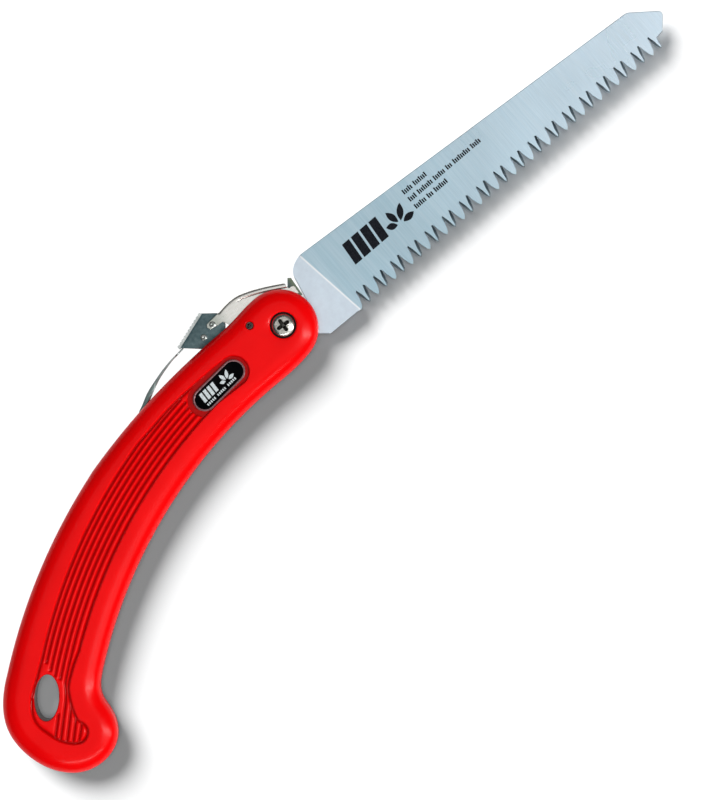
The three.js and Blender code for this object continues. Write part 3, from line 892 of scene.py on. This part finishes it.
# ---- return spring --------------------------------------------------------------------------
def leaf_spring():
    """Leaf that curls round its anchor and narrows to a tongue under the thumb pad.

    It is drawn thicker near the anchor than a plain strip would be.
    """
    anchor = (-76, 4.2, 1.85)
    curl = arc(anchor, math.radians(-150), math.radians(75), 0.35)
    run = spline([curl[-1], (-71.4, 8.2), (-66, 11.4), (-58, 14.9), (-50, 17.3), (-45.2, 18.1),
                  (-38.5, 19.4)], 0.8)
    line = chain(curl, run, closed=False)
    along = np.gradient(line, axis=0)
    along /= np.linalg.norm(along, axis=1)[:, None]
    side = np.column_stack([-along[:, 1], along[:, 0]])
    narrowing = smoothstep((line[:, 0] + 47.5) / 1.6)
    strip_half, tongue_half = 1.85, 0.82
    half = strip_half - (strip_half - tongue_half) * narrowing
    rear = smoothstep((line[:, 0] + 79) / 5) * smoothstep((-57 - line[:, 0]) / 12)
    thick = 0.38 + 0.2 * smoothstep((-48 - line[:, 0]) / 10) + 0.6 * rear
    section = [(-1, -0.7), (-0.92, -1), (0.92, -1), (1, -0.7), (1, 0.7), (0.92, 1), (-0.92, 1), (-1, 0.7)]
    vertices = [(*(p + s * t * v), w * h) for p, s, h, t in zip(line, side, half, thick) for w, v in section]
    solid = (vertices, swept_faces(len(line), len(section)))
    spring = new_object("return_leaf_spring", [solid], None, [spring_steel], 30)
    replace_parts(spring, "return_spring")
    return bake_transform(spring)


# ---- lock lever -----------------------------------------------------------------------------
ARM_OUTER = 2.95                # outside of the arm's cheeks
BRACKET_OUTER = 1.9             # outside of the thumb bracket's cheeks


def lock_arm():
    """Channel folded from strip: two cheeks and a web along the palm side, with a rounded fold."""
    web = chain(bezier((11.6, 15.2), (6, 18), (-1.5, 21.6), (-8.6, 23.1), step=0.6),
                quadratic((-8.6, 23.1), (-13, 23.7), (-19.8, 22), 14), [(-20, 21.95)], closed=False)
    front_web = web[web[:, 0] > -14]
    pin_x, pin_y = LEVER_PIN
    outline = resample(chain(
        web, [(-27.4, 20.9), (-28.2, 19.6), (-27.4, 18), (-24.5, 17.6), (-20.9, 17.6), (-15.6, 8.2)],
        arc((pin_x, pin_y, 3.4), math.pi, math.pi * 1.5 + 0.9, 0.4),
        [(-6.5, 11.4), (0, 11.6), (8, 9.4), (10.6, 7.8), (14.4, 7.8), (14.4, 11.5), (11.9, 12)]),
        0.35, closed=True)
    holes = [circle_loop(pin_x, pin_y, 1.9, 30), circle_loop(*PAWL_RIVET, RIVET_HOLE, 20),
             circle_loop(*FRONT_RIVET, RIVET_HOLE, 20)]
    fold, crease, inner = 1.9, 2.2, 1.95

    def face(points):
        to_web = distance(points, web, closed=False)
        folded = 0.95 * quarter_round(to_web, fold)
        broken = 0.14 * quarter_round(distance(points, outline), 0.2)
        pressed = 0.22 * smoothstep(1 - np.abs(to_web - crease) / 0.35) * smoothstep((points[:, 0] + 12) / 4)
        return ARM_OUTER - folded - broken - pressed

    lines = insets(outline, (0.03, 0.08, 0.2, 0.4, 0.8, 1.3))
    lines += [beside(front_web, crease + gap)[3:-3] for gap in (-0.35, -0.18, 0, 0.18, 0.35)]
    upper = slab([outline, *holes], face, inner, lines)
    lower = slab([outline, *holes], lambda points: -face(points), -inner, lines)
    inside_web = [(-20, 20.9), (-15.9, 21.7), (-9.9, 22.2), (-5.4, 21.1), (2.2, 18.7), (10.9, 14.4)]
    fold_loop = chain(resample(web, 0.5), inside_web)
    strip = slab([grow(fold_loop, -0.02)], inner + 0.1, -inner - 0.1)
    arm = new_object("lock_arm_formed", [upper, lower, strip], "lever", [arm_zinc], 30)
    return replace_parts(arm, "lock_arm")


def rounded_corners(points, radius):
    """Polygon with each corner replaced by a short curve."""
    p = np.array(points, float)
    pieces = []
    for before, corner, after in zip(np.roll(p, 1, 0), p, np.roll(p, -1, 0)):
        start = corner + (before - corner) / np.linalg.norm(before - corner) * radius
        end = corner + (after - corner) / np.linalg.norm(after - corner) * radius
        pieces.append(quadratic(start, corner, end, 6))
    return chain(*pieces)


def thumb_bracket():
    """Two cheeks under a serrated thumb pad."""
    cheek = rounded_corners([(-43.9, 19.9), (-35.2, 12.9), (-22.6, 13.4), (-20.4, 16.2), (-20.4, 22.1),
                             (-26.8, 26.6)], 0.7)
    holes = [circle_loop(*rivet_at, RIVET_HOLE, 20) for rivet_at in (FRONT_RIVET, REAR_RIVET)]
    soft = 0.25

    def face(points):
        return BRACKET_OUTER - soft * quarter_round(distance(points, cheek), soft)

    lines = insets(cheek, (0.03, 0.08, 0.15, 0.25))
    upper = slab([cheek, *holes], face, 1, lines)
    lower = slab([cheek, *holes], lambda points: -face(points), -1, lines)
    rear, front = np.array((-44.2, 20.1)), np.array((-26.8, 26.9))
    ridges = 11
    step = (front - rear) / ridges
    rise = left_of(step) / np.linalg.norm(step) * 0.45
    crest = [rear + step * (i + at) + rise * up for i in range(ridges)
             for at, up in ((0.06, 0), (0.36, 0.85), (0.5, 1), (0.62, 0.85), (0.94, 0))]
    pad = chain(crest, [front, front - rise * 2.4, rear - rise * 2.4])
    pad_half, bevel = 5, 0.18
    plate = slab([pad], pad_half, -pad_half, insets(pad, [bevel]))
    bracket = new_object("thumb_bracket_formed", [upper, lower, plate], "lever",
                         [blued_steel, worn_steel], 30)
    for flat, centre in zip(bracket.data.polygons, face_centres(bracket)):
        if abs(centre[2]) > pad_half - 0.1:
            flat.material_index = 1
    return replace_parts(bracket, "thumb_bracket")


def rivet(node, x, y, bearing, head):
    """Domed rivet whose heads sit on plates that end at the given height, with a small dimple."""
    under, top = bearing + 0.03, bearing + 0.33
    half = [(0, top - 0.16), (0.35, top - 0.14), (0.6, top), (head - 0.35, top - 0.08), (head, under + 0.06),
            (head, under), (1.1, under)]
    profile = [(r, -z) for r, z in half] + [(r, z) for r, z in half[::-1]]
    made = new_object(f"{node}_domed", [turned(profile, x, y, 40)], "lever", [rivet_steel], 30)
    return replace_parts(made, node)


# ---- finishes -------------------------------------------------------------------------------
RELIEF = 0.00001                # depth of the fine surface relief, in metres


class Finish:
    """A node material with its shader, and short ways to add what feeds it."""

    def __init__(self, name, colour, roughness, metallic=0.0, **sockets):
        self.material = bpy.data.materials.new(name)
        self.material.use_nodes = True
        self.nodes = self.material.node_tree.nodes
        self.links = self.material.node_tree.links
        self.shader = self.nodes["Principled BSDF"]
        self.shader.inputs["Base Color"].default_value = (*colour, 1)
        self.shader.inputs["Roughness"].default_value = roughness
        self.shader.inputs["Metallic"].default_value = metallic
        for socket, value in sockets.items():
            self.shader.inputs[socket.replace("_", " ")].default_value = value
        self.place = self.nodes.new("ShaderNodeTexCoord").outputs["Object"]

    def stretched(self, scale, turn=0.0):
        """Object coordinates scaled per axis, after turning about Z."""
        mapping = self.nodes.new("ShaderNodeMapping")
        mapping.vector_type = "TEXTURE"
        mapping.inputs["Rotation"].default_value = (0, 0, turn)
        mapping.inputs["Scale"].default_value = tuple(1 / s for s in scale)
        self.links.new(self.place, mapping.inputs["Vector"])
        return mapping.outputs["Vector"]

    def noise(self, scale, detail=2.0, vector=None, roughness=0.5):
        node = self.nodes.new("ShaderNodeTexNoise")
        node.inputs["Scale"].default_value = scale
        node.inputs["Detail"].default_value = detail
        node.inputs["Roughness"].default_value = roughness
        self.links.new(vector or self.place, node.inputs["Vector"])
        return node.outputs["Fac"]

    def spread(self, value, low, high, from_low=0.3, from_high=0.7):
        """Maps a value between two limits, held at the ends."""
        node = self.nodes.new("ShaderNodeMapRange")
        self.links.new(value, node.inputs["Value"])
        limits = {"From Min": from_low, "From Max": from_high, "To Min": low, "To Max": high}
        for socket, number in limits.items():
            node.inputs[socket].default_value = number
        return node.outputs["Result"]

    def along(self, start, end):
        """Goes from 0 to 1 between two places along the saw, in drawing millimetres."""
        split = self.nodes.new("ShaderNodeSeparateXYZ")
        self.links.new(self.place, split.inputs["Vector"])
        low, high = (to_frame([(x, 0, 0)])[0][0] for x in (start, end))
        return self.spread(split.outputs["X"], 0, 1, low, high)

    def blend(self, factor, first, second):
        """Mixes two colours, each a socket or three numbers."""
        node = self.nodes.new("ShaderNodeMix")
        node.data_type = "RGBA"
        self.links.new(factor, node.inputs["Factor"])
        for socket, colour in zip([s for s in node.inputs if s.type == "RGBA"], (first, second)):
            if isinstance(colour, tuple):
                socket.default_value = (*colour, 1)
            else:
                self.links.new(colour, socket)
        return [s for s in node.outputs if s.type == "RGBA"][0]

    def colour(self, value):
        self.links.new(value, self.shader.inputs["Base Color"])

    def roughness(self, value):
        self.links.new(value, self.shader.inputs["Roughness"])

    def bump(self, height):
        """Adds fine surface relief."""
        node = self.nodes.new("ShaderNodeBump")
        node.inputs["Strength"].default_value = 1.0
        node.inputs["Distance"].default_value = RELIEF
        self.links.new(height, node.inputs["Height"])
        self.links.new(node.outputs["Normal"], self.shader.inputs["Normal"])

    def attribute(self, name):
        node = self.nodes.new("ShaderNodeAttribute")
        node.attribute_name = name
        return node.outputs["Fac"]


def make_red_plastic():
    finish = Finish("red_plastic", (0.9, 0.001, 0.002), 0.2, Specular_IOR_Level=0.12)
    cloud = finish.spread(finish.noise(60, 4), 0, 1)
    tone = finish.blend(cloud, (0.93, 0.001, 0.002), (0.86, 0.0005, 0.0015))
    # Painted shade: the panel's grooves darken with their depth.
    tone = finish.blend(finish.attribute("painted_recess_shade"), tone, (0.40, 0.0, 0.0))
    # Painted shade: the seats and the hang hole's wall go nearly black.
    tone = finish.blend(finish.attribute("painted_deep_shade"), tone, (0.012, 0.006, 0.005))
    finish.colour(tone)
    finish.roughness(finish.spread(finish.noise(900, 3), 0.17, 0.24))
    finish.bump(finish.noise(3200, 2))
    return finish.material


def make_ground_steel():
    """Fine grind lines across the blade; bluish by the tang and paler towards the tip, the paling being
    painted reflection; a pale tang; and a painted highlight along the grind line.
    """
    finish = Finish("ground_steel", (0.6, 0.68, 0.74), 0.3, 1.0)
    across = finish.noise(1, 3, finish.stretched((5200, 90, 90), math.radians(4)), 0.6)
    wide = finish.noise(1, 2, finish.stretched((1100, 25, 25), math.radians(4)))
    # Painted reflection: the ground steel lightens along the blade towards the tip.
    ground = finish.blend(finish.along(70, 215), (0.41, 0.58, 0.67), (0.72, 0.86, 0.97))
    streaked = finish.blend(finish.spread(across, 0, 0.3, 0.3, 0.7), ground, (0.30, 0.40, 0.46))
    streaked = finish.blend(finish.spread(wide, 0, 0.18, 0.35, 0.7), streaked, (0.80, 0.86, 0.90))
    cloud = finish.spread(finish.noise(400, 3), 0, 1)
    tang = finish.blend(cloud, (0.62, 0.70, 0.78), (0.66, 0.75, 0.83))
    tone = finish.blend(finish.attribute("ground"), tang, streaked)
    # Painted highlight: the grind line is whitened where its step would catch the light.
    finish.colour(finish.blend(finish.attribute("painted_grind_highlight"), tone, (1.0, 1.0, 1.0)))
    finish.roughness(finish.spread(finish.noise(25, 3), 0.26, 0.38))
    finish.bump(across)
    return finish.material


def make_pawl_steel():
    """Dark steel that turns olive towards the blade side."""
    finish = Finish("pawl_steel", (0.2, 0.24, 0.22), 0.35, 1.0)
    tint = finish.blend(finish.along(13.2, 14.6), (0.06, 0.09, 0.09), (0.14, 0.18, 0.12))
    finish.colour(finish.blend(finish.spread(finish.noise(900, 3), 0, 0.2), tint, (0.4, 0.42, 0.37)))
    finish.roughness(finish.spread(finish.noise(200, 3), 0.28, 0.45))
    finish.bump(finish.noise(1500, 2))
    return finish.material


def make_arm_zinc():
    """Bright zinc plate, duller at the tail."""
    finish = Finish("arm_zinc", (0.9, 0.88, 0.83), 0.27, 1.0)
    grain = finish.noise(1, 3, finish.stretched((300, 2500, 300)))
    bright = finish.blend(finish.spread(grain, 0, 1), (0.84, 0.82, 0.76), (0.94, 0.93, 0.89))
    finish.colour(finish.blend(finish.along(-17, -23), bright, (0.50, 0.53, 0.48)))
    finish.roughness(finish.spread(finish.noise(150, 3), 0.2, 0.36))
    finish.bump(grain)
    return finish.material


def make_spring_steel():
    """Drawn strip with painted shade: darker and greener towards its anchor, where it runs in beside the
    grip and into its pocket.
    """
    finish = Finish("spring_steel", (0.4, 0.43, 0.42), 0.3, 1.0)
    grain = finish.noise(1, 3, finish.stretched((200, 3000, 200)))
    # Painted shade: the strip darkens towards its anchor end.
    tint = finish.blend(finish.along(-72, -50), (0.12, 0.19, 0.18), (0.42, 0.45, 0.44))
    finish.colour(finish.blend(finish.spread(grain, 0, 0.5), tint, (0.10, 0.12, 0.12)))
    finish.roughness(finish.spread(finish.noise(150, 3), 0.22, 0.4))
    finish.bump(grain)
    return finish.material


def make_metal(name, dark, light, roughness, scale=400, lines=None, painted_recess_shade=None):
    """Bare or plated metal with an even grain, or drawn lines; painted shade in a recess is optional."""
    finish = Finish(name, light, roughness, 1.0)
    vector = finish.stretched(lines) if lines else None
    grain = finish.noise(1 if lines else scale, 3, vector)
    tone = finish.blend(finish.spread(grain, 0, 1), dark, light)
    if painted_recess_shade:
        tone = finish.blend(finish.attribute("painted_recess_shade"), tone, painted_recess_shade)
    finish.colour(tone)
    finish.roughness(finish.spread(finish.noise(150, 3), roughness * 0.75, roughness * 1.35))
    finish.bump(grain)
    return finish.material


def make_ink(name, dark, light, roughness, metallic=0.0):
    finish = Finish(name, light, roughness, metallic, Specular_IOR_Level=0.02)
    finish.colour(finish.blend(finish.spread(finish.noise(1800, 3), 0, 1), dark, light))
    finish.roughness(finish.spread(finish.noise(700, 2), roughness * 0.8, roughness * 1.2))
    finish.bump(finish.noise(2500, 2))
    return finish.material


def make_paper_white():
    finish = Finish("floor_white", (0.92, 0.92, 0.92), 0.9)
    cloud = finish.spread(finish.noise(3, 2), 0, 1)
    finish.colour(finish.blend(cloud, (0.915, 0.917, 0.92), (0.93, 0.93, 0.93)))
    return finish.material


red_plastic = make_red_plastic()
ground_steel = make_ground_steel()
# A darker copy of the blade steel for the tilted tooth facets: painted shade.
facet_shade_steel = make_metal("facet_shade_steel", (0.16, 0.21, 0.24), (0.30, 0.36, 0.40), 0.3, lines=(2500, 300, 300))
nickel = make_metal("nickel_plate", (0.38, 0.38, 0.34), (0.72, 0.71, 0.66), 0.22, 900)
# The head's finish darkens the cross recess nearly to black as painted shade.
head_nickel = make_metal("head_nickel", (0.38, 0.38, 0.34), (0.66, 0.65, 0.60), 0.24, 900,
                         painted_recess_shade=(0.03, 0.03, 0.025))
rivet_steel = make_metal("rivet_steel", (0.16, 0.18, 0.17), (0.42, 0.44, 0.42), 0.3, 900)
zinc = make_metal("zinc_plate", (0.78, 0.76, 0.70), (0.90, 0.88, 0.83), 0.27, lines=(300, 2500, 300))
dark_steel = make_metal("dark_steel", (0.10, 0.08, 0.07), (0.2, 0.16, 0.145), 0.4, 600)
worn_steel = make_metal("worn_steel", (0.4, 0.44, 0.43), (0.75, 0.78, 0.76), 0.3, lines=(2500, 300, 300))
pawl_steel = make_pawl_steel()
blued_steel = make_metal("blued_steel", (0.075, 0.12, 0.13), (0.125, 0.18, 0.19), 0.4, 700)
spring_steel = make_spring_steel()
arm_zinc = make_arm_zinc()
badge_black = make_ink("badge_black", (0.0003, 0.0003, 0.0008), (0.0008, 0.0008, 0.0014), 0.35)
badge_rim = make_ink("badge_rim", (0.2, 0.09, 0.1), (0.36, 0.2, 0.21), 0.3, 0.6)
badge_silver = make_ink("badge_silver", (0.5, 0.56, 0.58), (0.8, 0.86, 0.88), 0.35, 0.5)
blade_ink = make_ink("blade_ink", (0.006, 0.007, 0.01), (0.018, 0.02, 0.026), 0.5)


# ---- assembly -------------------------------------------------------------------------------
def soften(node, material, width):
    """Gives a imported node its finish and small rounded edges."""
    thing = frame["nodes"][node]
    thing.data.materials.clear()
    thing.data.materials.append(material)
    bevel = thing.modifiers.new("edges", "BEVEL")
    bevel.width = width * MM
    bevel.segments = 2
    bevel.limit_method = "ANGLE"
    bevel.angle_limit = math.radians(40)
    bevel.harden_normals = True


lock_arm()
thumb_bracket()
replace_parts(shell(1, "right_grip_half"), "right_grip_shell")
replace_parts(shell(-1, "left_grip_half"), "left_grip_shell")
saw_blade()
blade_marks()
badge(1, "right")
badge(-1, "left")
pivot_screw()
roll_pin()
leaf_spring()
rivet("bracket_rivet_front", *FRONT_RIVET, ARM_OUTER, 1.45)
rivet("bracket_rivet_rear", *REAR_RIVET, BRACKET_OUTER, 1.45)
for node, material, width in (
        ("lock_pawl", pawl_steel, 0.15),
        ("pawl_rivet", zinc, 0.12),
        ("pivot_nut", nickel, 0.2),
        ("pivot_spring_washer", zinc, 0.1),
        ("right_blade_washer", zinc, 0.1),
        ("left_blade_washer", zinc, 0.1),
        ("spring_anchor_pin", zinc, 0.15),
        ("grip_screw_front", zinc, 0.12),
        ("grip_screw_middle", zinc, 0.12),
        ("grip_screw_rear", zinc, 0.12)):
    soften(node, material, width)


# ---- stage ----------------------------------------------------------------------------------
def floor():
    mesh = bpy.data.meshes.new("floor")
    reach = 8
    mesh.from_pydata([(-reach, -reach, 0), (reach, -reach, 0), (reach, reach, 0), (-reach, reach, 0)], [],
                     [(0, 1, 2, 3)])
    thing = bpy.data.objects.new("floor", mesh)
    mesh.materials.append(make_paper_white())
    bpy.context.scene.collection.objects.link(thing)
    thing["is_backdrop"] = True


IMAGE_RIGHT = Vector((0.8032, -0.5957, 0))
IMAGE_UP = Vector((0.5957, 0.8032, 0))
VIEW_HEIGHT = 0.360


def aim(thing, position, target):
    thing.location = position
    thing.rotation_mode = "QUATERNION"
    thing.rotation_quaternion = (Vector(target) - Vector(position)).to_track_quat("-Z", "Y")


def camera():
    """Looks straight down with a long lens; the saw lies across the picture."""
    data = bpy.data.cameras.new("camera")
    thing = bpy.data.objects.new("camera", data)
    bpy.context.scene.collection.objects.link(thing)
    above = 2.0
    data.lens = 36 * above / VIEW_HEIGHT
    data.sensor_width = 36
    data.clip_start, data.clip_end = 0.05, 50
    centre = Vector(cad_box[0] + cad_box[1]) / 2 + Vector((-0.0006, -0.0047, 0))
    thing.rotation_mode = "QUATERNION"
    thing.rotation_quaternion = Matrix((IMAGE_RIGHT, IMAGE_UP, (0, 0, 1))).transposed().to_quaternion()
    thing.location = (centre.x, centre.y, PIVOT[2] + above)
    bpy.context.scene.camera = thing


def light(name, kind, position, target, energy, **settings):
    data = bpy.data.lights.new(name, kind)
    data.energy = energy
    for key, value in settings.items():
        setattr(data, key, value)
    thing = bpy.data.objects.new(name, data)
    bpy.context.scene.collection.objects.link(thing)
    aim(thing, position, target)
    return thing


def world():
    """Dim even room light, plain pale where the camera sees it."""
    scene_world = bpy.data.worlds.new("studio")
    bpy.context.scene.world = scene_world
    scene_world.use_nodes = True
    nodes, links = scene_world.node_tree.nodes, scene_world.node_tree.links
    room = nodes["Background"]
    room.inputs["Color"].default_value = (0.97, 0.99, 1.0, 1)
    room.inputs["Strength"].default_value = 0.08
    seen = nodes.new("ShaderNodeBackground")
    seen.inputs["Color"].default_value = (0.9, 0.9, 0.9, 1)
    path = nodes.new("ShaderNodeLightPath")
    mix = nodes.new("ShaderNodeMixShader")
    links.new(path.outputs["Is Camera Ray"], mix.inputs["Fac"])
    links.new(room.outputs["Background"], mix.inputs[1])
    links.new(seen.outputs["Background"], mix.inputs[2])
    links.new(mix.outputs["Shader"], nodes["World Output"].inputs["Surface"])


def from_side(azimuth, elevation, reach):
    """A place round the saw: azimuth turns from the picture's right to its top, in degrees."""
    azimuth, elevation = math.radians(azimuth), math.radians(elevation)
    flat = IMAGE_RIGHT * math.cos(azimuth) + IMAGE_UP * math.sin(azimuth)
    return (flat * math.cos(elevation) + Vector((0, 0, math.sin(elevation)))) * reach


def lights():
    """Two suns light only the floor; a soft key sun and three softboxes light only the saw."""
    here = (0, 0, 0)
    floor_lights = [
        light("shadow_sun", "SUN", from_side(135, 45, 1), here, 4.3, angle=math.radians(36)),
        light("floor_fill", "SUN", from_side(0, 89, 1), here, 0.6, angle=math.radians(16))]
    saw_lights = [
        light("key_sun", "SUN", from_side(-15, 48, 1), here, 0.5, angle=math.radians(33)),
        light("softbox_overhead", "AREA", Vector((0, 0, 2.4)), here, 20, size=3.0),
        light("softbox_right", "AREA", from_side(-12, 48, 1.5), here, 11,
              shape="RECTANGLE", size=0.15, size_y=1.2),
        light("softbox_below", "AREA", from_side(-80, 44, 1.5), here, 6.5,
              shape="RECTANGLE", size=1.2, size_y=0.15)]
    saw, ground = bpy.data.collections.new("saw_pieces"), bpy.data.collections.new("floor_pieces")
    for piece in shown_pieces():
        saw.objects.link(piece)
    ground.objects.link(bpy.data.objects["floor"])
    casters = bpy.data.collections.new("pieces_that_shade_the_floor")
    for piece in saw.objects:
        if piece.name not in ("thumb_bracket_formed", "lock_arm_formed", "return_leaf_spring"):
            casters.objects.link(piece)
    for lamps, lit in ((floor_lights, ground), (saw_lights, saw)):
        for lamp in lamps:
            lamp.light_linking.receiver_collection = lit
    floor_lights[0].light_linking.blocker_collection = casters
    for name in ("right_grip_half", "left_grip_half"):
        bpy.data.objects[name].visible_diffuse = False


floor()
camera()
world()
lights()
bpy.context.scene.view_settings.view_transform = "Standard"
